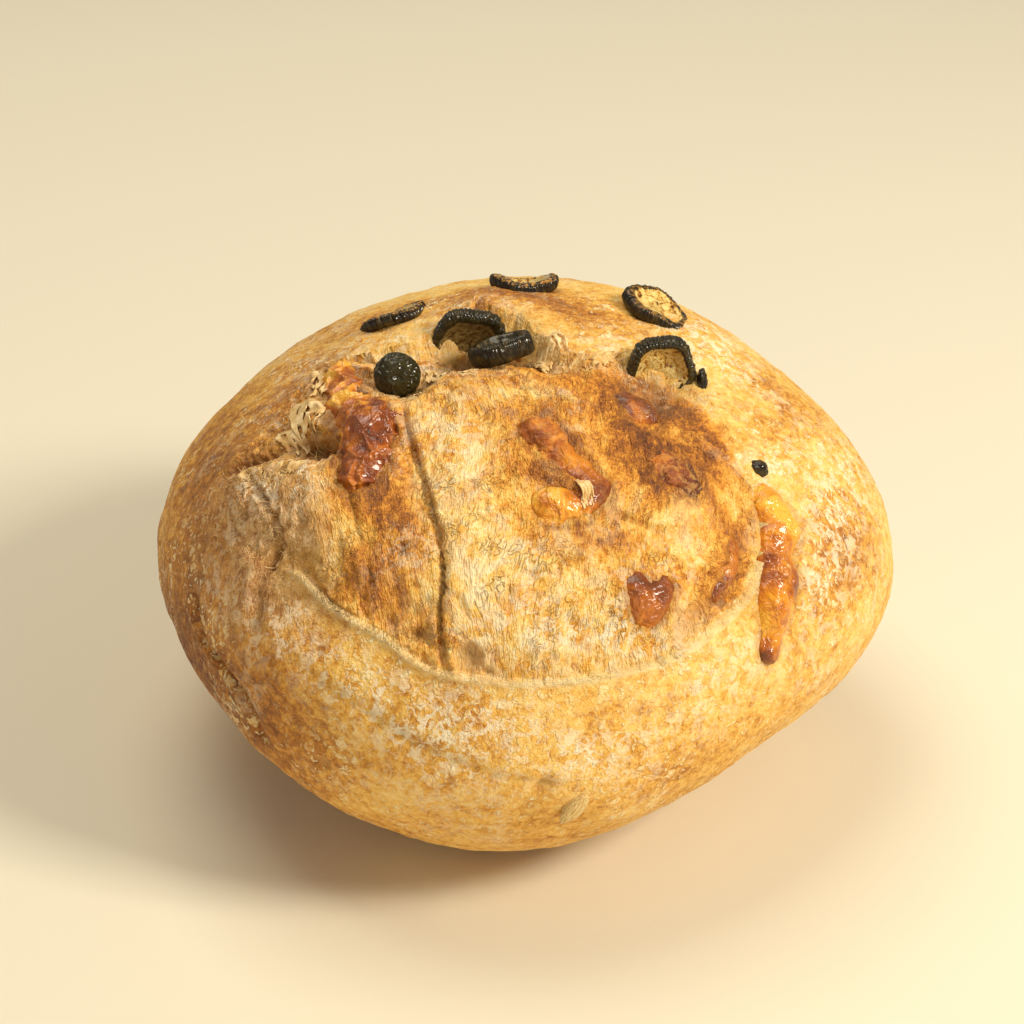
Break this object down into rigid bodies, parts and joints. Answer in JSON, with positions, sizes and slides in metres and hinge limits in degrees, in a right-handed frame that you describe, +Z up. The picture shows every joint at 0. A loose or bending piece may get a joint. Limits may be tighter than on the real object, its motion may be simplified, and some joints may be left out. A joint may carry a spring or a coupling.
{
  "type": "sourdough loaf",
  "caption": "Round crusty sourdough loaf with a torn-open face, baked pepper slices and browned melted cheese set in the crust.",
  "frame": {"origin": "centre of the loaf's bounding box, in the plane of the flat base", "axes": "+Z up; -Y towards the side where the torn face opens; +X to the right as seen from that side"},
  "size_m": [0.2216, 0.2284, 0.1398],
  "materials": {
    "crust": "matt baked bread crust",
    "pepper": "satin blackened pepper skin and flesh",
    "cheese": "glossy browned cheese"
  },
  "bodies": {
    "root": {"loaf": "crust", "pepper_slice_left": "pepper", "pepper_slice_top": "pepper", "pepper_slice_right": "pepper", "pepper_slice_front": "pepper", "pepper_slice_inner": "pepper", "pepper_slice_outer": "pepper", "pepper_tip": "pepper", "pepper_scrap_right": "pepper", "pepper_scrap_front": "pepper", "cheese_left": "cheese", "cheese_middle": "cheese", "cheese_upper": "cheese", "cheese_dark": "cheese", "cheese_lower": "cheese", "cheese_streak": "cheese", "cheese_right": "cheese"}
  },
  "joints": []
}
